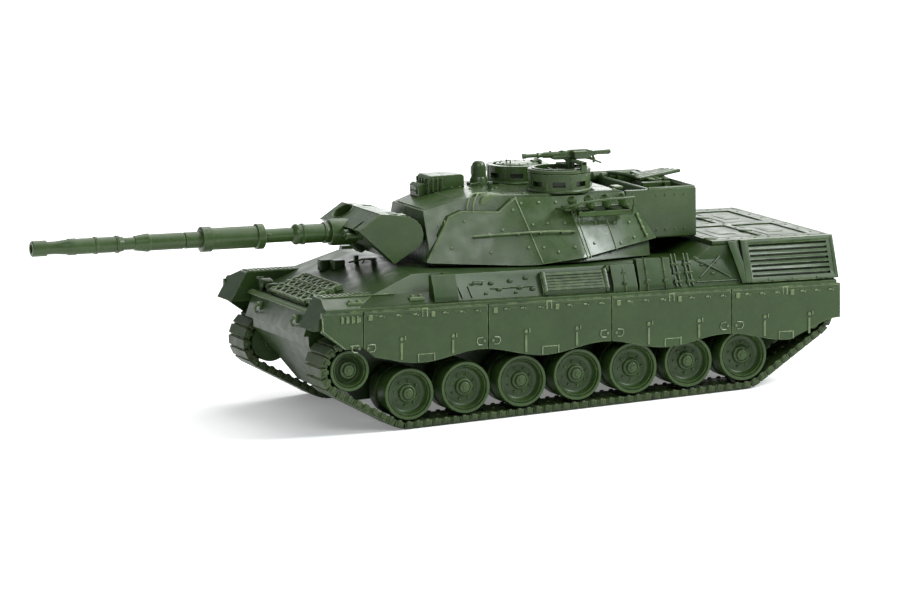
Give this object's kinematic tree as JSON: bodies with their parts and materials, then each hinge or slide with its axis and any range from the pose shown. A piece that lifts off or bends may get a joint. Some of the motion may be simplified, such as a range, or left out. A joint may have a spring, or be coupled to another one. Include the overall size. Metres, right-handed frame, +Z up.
{
  "type": "model tank",
  "caption": "Small tracked model tank with a traversing turret, an elevating gun, a swivelling roof gun, side skirts, free-turning road wheels and a geared drive to each track.",
  "frame": {"origin": "centre of the bounding box in plan, on the ground under the tracks", "axes": "+X towards the bows and the muzzle, +Y to the vehicle left, +Z up"},
  "size_m": [0.1321, 0.0478, 0.0406],
  "materials": {
    "hull_green": "satin moulded dark olive-green plastic",
    "turret_green": "satin moulded dark olive-green plastic",
    "wheel_green": "satin moulded dark olive-green plastic",
    "track_green": "dull flexible dark green moulding",
    "pin_steel": "drawn steel pin",
    "gear_plastic": "natural acetal",
    "motor_case": "drawn steel can",
    "cell_wrap": "silver pouch",
    "board_green": "soldermask",
    "frame_black": "moulded black plastic",
    "screw_steel": "zinc-plated screw"
  },
  "bodies": {
    "hull": {"battery": "cell_wrap", "control_board": "board_green", "drive_motors": "motor_case", "engine_deck": "hull_green", "exhaust_grilles": "hull_green", "front_fenders": "hull_green", "front_lamps": "hull_green", "gearbox_frame": "frame_black", "hull_screws": "screw_steel", "lower_hull": "hull_green", "rear_plate": "hull_green", "side_stowage": "hull_green", "skirt_left": "hull_green", "skirt_right": "hull_green", "spare_grouser_rack": "hull_green", "track_left": "track_green", "track_right": "track_green", "turret_motor": "motor_case", "upper_hull": "hull_green", "wheel_axles": "pin_steel"},
    "switch": {"switch_knob": "frame_black"},
    "turret": {"turret_shell": "turret_green", "turret_base": "turret_green", "turret_ring_gear": "gear_plastic", "turret_armour": "turret_green", "bustle_basket": "turret_green", "bustle_load": "turret_green", "roof_sights": "turret_green", "loader_cupola": "turret_green", "commander_cupola": "turret_green", "smoke_dischargers": "turret_green"},
    "gun": {"mantlet": "turret_green", "gun_barrel": "turret_green"},
    "roof_gun": {"machine_gun": "turret_green"},
    "turret_drive": {"turret_pinion": "gear_plastic"},
    "drive_left": {"sprocket_left": "wheel_green", "drive_axle_left": "gear_plastic"},
    "reduction_left": {"reduction_gear_left": "gear_plastic"},
    "motor_rotor_left": {"motor_pinion_left": "gear_plastic"},
    "idler_wheel_left": {"idler_left": "wheel_green"},
    "wheel_left_1": {"road_wheel_left_1": "wheel_green"},
    "wheel_left_2": {"road_wheel_left_2": "wheel_green"},
    "wheel_left_3": {"road_wheel_left_3": "wheel_green"},
    "wheel_left_4": {"road_wheel_left_4": "wheel_green"},
    "wheel_left_5": {"road_wheel_left_5": "wheel_green"},
    "wheel_left_6": {"road_wheel_left_6": "wheel_green"},
    "wheel_left_7": {"road_wheel_left_7": "wheel_green"},
    "drive_right": {"sprocket_right": "wheel_green", "drive_axle_right": "gear_plastic"},
    "reduction_right": {"reduction_gear_right": "gear_plastic"},
    "motor_rotor_right": {"motor_pinion_right": "gear_plastic"},
    "idler_wheel_right": {"idler_right": "wheel_green"},
    "wheel_right_1": {"road_wheel_right_1": "wheel_green"},
    "wheel_right_2": {"road_wheel_right_2": "wheel_green"},
    "wheel_right_3": {"road_wheel_right_3": "wheel_green"},
    "wheel_right_4": {"road_wheel_right_4": "wheel_green"},
    "wheel_right_5": {"road_wheel_right_5": "wheel_green"},
    "wheel_right_6": {"road_wheel_right_6": "wheel_green"},
    "wheel_right_7": {"road_wheel_right_7": "wheel_green"}
  },
  "joints": [
    {"name": "track_drive_left", "type": "hinge", "parent": "hull", "child": "drive_left", "pos_m": [-0.0601, 0.0184, 0.0117], "axis": [0, 1, 0], "continuous": true},
    {"name": "reduction_spin_left", "type": "hinge", "parent": "hull", "child": "reduction_left", "pos_m": [-0.05484, 0.009, 0.0117], "axis": [0, 1, 0], "continuous": true},
    {"name": "motor_spin_left", "type": "hinge", "parent": "hull", "child": "motor_rotor_left", "pos_m": [-0.05005, 0.0079, 0.00871], "axis": [0, 1, 0], "continuous": true},
    {"name": "idler_spin_left", "type": "hinge", "parent": "hull", "child": "idler_wheel_left", "pos_m": [0.02081, 0.0184, 0.0107], "axis": [0, 1, 0], "continuous": true},
    {"name": "wheel_spin_left_1", "type": "hinge", "parent": "hull", "child": "wheel_left_1", "pos_m": [0.01081, 0.0184, 0.0058], "axis": [0, 1, 0], "continuous": true},
    {"name": "wheel_spin_left_2", "type": "hinge", "parent": "hull", "child": "wheel_left_2", "pos_m": [0.001, 0.0184, 0.0058], "axis": [0, 1, 0], "continuous": true},
    {"name": "wheel_spin_left_3", "type": "hinge", "parent": "hull", "child": "wheel_left_3", "pos_m": [-0.00881, 0.0184, 0.0058], "axis": [0, 1, 0], "continuous": true},
    {"name": "wheel_spin_left_4", "type": "hinge", "parent": "hull", "child": "wheel_left_4", "pos_m": [-0.01862, 0.0184, 0.0058], "axis": [0, 1, 0], "continuous": true},
    {"name": "wheel_spin_left_5", "type": "hinge", "parent": "hull", "child": "wheel_left_5", "pos_m": [-0.02843, 0.0184, 0.0058], "axis": [0, 1, 0], "continuous": true},
    {"name": "wheel_spin_left_6", "type": "hinge", "parent": "hull", "child": "wheel_left_6", "pos_m": [-0.03825, 0.0184, 0.0058], "axis": [0, 1, 0], "continuous": true},
    {"name": "wheel_spin_left_7", "type": "hinge", "parent": "hull", "child": "wheel_left_7", "pos_m": [-0.04806, 0.0184, 0.0058], "axis": [0, 1, 0], "continuous": true},
    {"name": "track_drive_right", "type": "hinge", "parent": "hull", "child": "drive_right", "pos_m": [-0.0601, -0.0184, 0.0117], "axis": [0, 1, 0], "continuous": true},
    {"name": "reduction_spin_right", "type": "hinge", "parent": "hull", "child": "reduction_right", "pos_m": [-0.05484, -0.009, 0.0117], "axis": [0, 1, 0], "continuous": true},
    {"name": "motor_spin_right", "type": "hinge", "parent": "hull", "child": "motor_rotor_right", "pos_m": [-0.05005, -0.0079, 0.01469], "axis": [0, 1, 0], "continuous": true},
    {"name": "idler_spin_right", "type": "hinge", "parent": "hull", "child": "idler_wheel_right", "pos_m": [0.02081, -0.0184, 0.0107], "axis": [0, 1, 0], "continuous": true},
    {"name": "wheel_spin_right_1", "type": "hinge", "parent": "hull", "child": "wheel_right_1", "pos_m": [0.01081, -0.0184, 0.0058], "axis": [0, 1, 0], "continuous": true},
    {"name": "wheel_spin_right_2", "type": "hinge", "parent": "hull", "child": "wheel_right_2", "pos_m": [0.001, -0.0184, 0.0058], "axis": [0, 1, 0], "continuous": true},
    {"name": "wheel_spin_right_3", "type": "hinge", "parent": "hull", "child": "wheel_right_3", "pos_m": [-0.00881, -0.0184, 0.0058], "axis": [0, 1, 0], "continuous": true},
    {"name": "wheel_spin_right_4", "type": "hinge", "parent": "hull", "child": "wheel_right_4", "pos_m": [-0.01862, -0.0184, 0.0058], "axis": [0, 1, 0], "continuous": true},
    {"name": "wheel_spin_right_5", "type": "hinge", "parent": "hull", "child": "wheel_right_5", "pos_m": [-0.02843, -0.0184, 0.0058], "axis": [0, 1, 0], "continuous": true},
    {"name": "wheel_spin_right_6", "type": "hinge", "parent": "hull", "child": "wheel_right_6", "pos_m": [-0.03825, -0.0184, 0.0058], "axis": [0, 1, 0], "continuous": true},
    {"name": "wheel_spin_right_7", "type": "hinge", "parent": "hull", "child": "wheel_right_7", "pos_m": [-0.04806, -0.0184, 0.0058], "axis": [0, 1, 0], "continuous": true},
    {"name": "turret_traverse", "type": "hinge", "parent": "hull", "child": "turret", "pos_m": [-0.01567, 0, 0.02358], "axis": [-0.049, 0, 0.9988], "continuous": true},
    {"name": "turret_drive_spin", "type": "hinge", "parent": "hull", "child": "turret_drive", "pos_m": [-0.00112, 0, 0.02195], "axis": [-0.049, 0, 0.9988], "continuous": true},
    {"name": "gun_elevation", "type": "hinge", "parent": "turret", "child": "gun", "pos_m": [0.00527, 0, 0.02947], "axis": [0, -1, 0], "range_deg": [-6, 15]},
    {"name": "roof_gun_swivel", "type": "hinge", "parent": "turret", "child": "roof_gun", "pos_m": [-0.02336, 0.007, 0.03748], "axis": [-0.049, 0, 0.9988], "continuous": true},
    {"name": "power_switch", "type": "slide", "parent": "hull", "child": "switch", "axis": [1, 0, 0], "range_m": [0, 0.0022]}
  ],
  "couplings": [
    {"joint": "reduction_spin_left", "follows": "track_drive_left", "ratio": -2.25},
    {"joint": "motor_spin_left", "follows": "track_drive_left", "ratio": 5.625},
    {"joint": "idler_spin_left", "follows": "track_drive_left", "ratio": 0.91429},
    {"joint": "wheel_spin_left_1", "follows": "track_drive_left", "ratio": 0.73227},
    {"joint": "wheel_spin_left_2", "follows": "track_drive_left", "ratio": 0.73227},
    {"joint": "wheel_spin_left_3", "follows": "track_drive_left", "ratio": 0.73227},
    {"joint": "wheel_spin_left_4", "follows": "track_drive_left", "ratio": 0.73227},
    {"joint": "wheel_spin_left_5", "follows": "track_drive_left", "ratio": 0.73227},
    {"joint": "wheel_spin_left_6", "follows": "track_drive_left", "ratio": 0.73227},
    {"joint": "wheel_spin_left_7", "follows": "track_drive_left", "ratio": 0.73227},
    {"joint": "reduction_spin_right", "follows": "track_drive_right", "ratio": -2.25},
    {"joint": "motor_spin_right", "follows": "track_drive_right", "ratio": 5.625},
    {"joint": "idler_spin_right", "follows": "track_drive_right", "ratio": 0.91429},
    {"joint": "wheel_spin_right_1", "follows": "track_drive_right", "ratio": 0.73227},
    {"joint": "wheel_spin_right_2", "follows": "track_drive_right", "ratio": 0.73227},
    {"joint": "wheel_spin_right_3", "follows": "track_drive_right", "ratio": 0.73227},
    {"joint": "wheel_spin_right_4", "follows": "track_drive_right", "ratio": 0.73227},
    {"joint": "wheel_spin_right_5", "follows": "track_drive_right", "ratio": 0.73227},
    {"joint": "wheel_spin_right_6", "follows": "track_drive_right", "ratio": 0.73227},
    {"joint": "wheel_spin_right_7", "follows": "track_drive_right", "ratio": 0.73227},
    {"joint": "turret_drive_spin", "follows": "turret_traverse", "ratio": -5}
  ]
}
